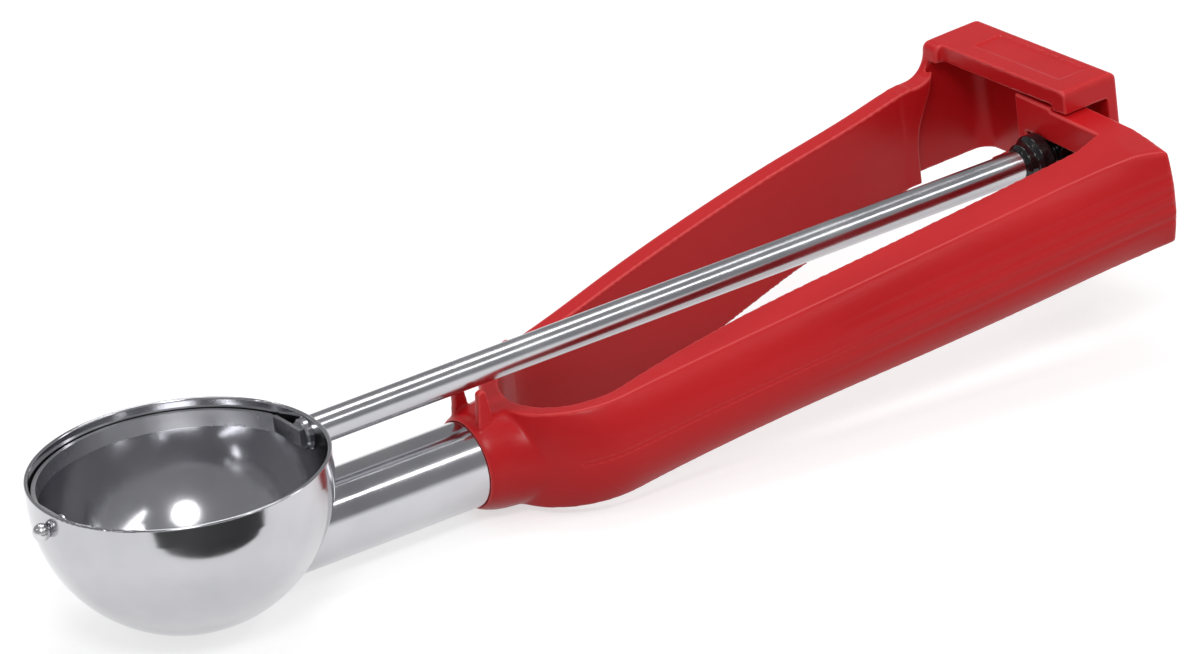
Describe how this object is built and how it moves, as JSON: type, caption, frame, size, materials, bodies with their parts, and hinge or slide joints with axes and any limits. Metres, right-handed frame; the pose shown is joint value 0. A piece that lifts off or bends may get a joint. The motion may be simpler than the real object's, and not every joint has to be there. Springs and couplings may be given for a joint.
{
  "type": "lever ice cream scoop",
  "caption": "Hand scoop with a steel bowl, a scraper blade turned by a rack in the spring handle, and a sprung squeeze arm.",
  "frame": {"origin": "middle of the scoop's bounding box, at the height of the bowl's lowest point", "axes": "+X along the drive rod from the bowl to the handle end, +Y towards the squeeze arm, +Z out of the bowl's mouth"},
  "size_m": [0.2364, 0.0711, 0.0434],
  "materials": {
    "polished_steel": "polished",
    "red_plastic": "semi-gloss",
    "black_plastic": "gloss"
  },
  "bodies": {
    "frame": {"handle": "red_plastic", "shank_tube": "polished_steel", "bowl": "polished_steel"},
    "squeeze": {"squeeze_arm": "red_plastic"},
    "scraper": {"drive_rod": "polished_steel", "pinion": "black_plastic", "scraper_blade": "polished_steel", "pivot_pin": "polished_steel"}
  },
  "joints": [
    {"name": "squeeze_hinge", "type": "hinge", "parent": "frame", "child": "squeeze", "pos_m": [-0.01119, 0.0152, 0.028], "axis": [0, 0, -1], "range_deg": [0, 7.07], "stiffness_Nm_per_rad": 3},
    {"name": "scraper_spin", "type": "hinge", "parent": "frame", "child": "scraper", "pos_m": [0.01273, 0.0018, 0.028], "axis": [-1, 0, 0], "range_deg": [0, 168]}
  ],
  "couplings": [
    {"joint": "scraper_spin", "follows": "squeeze_hinge", "ratio": 23.755}
  ]
}
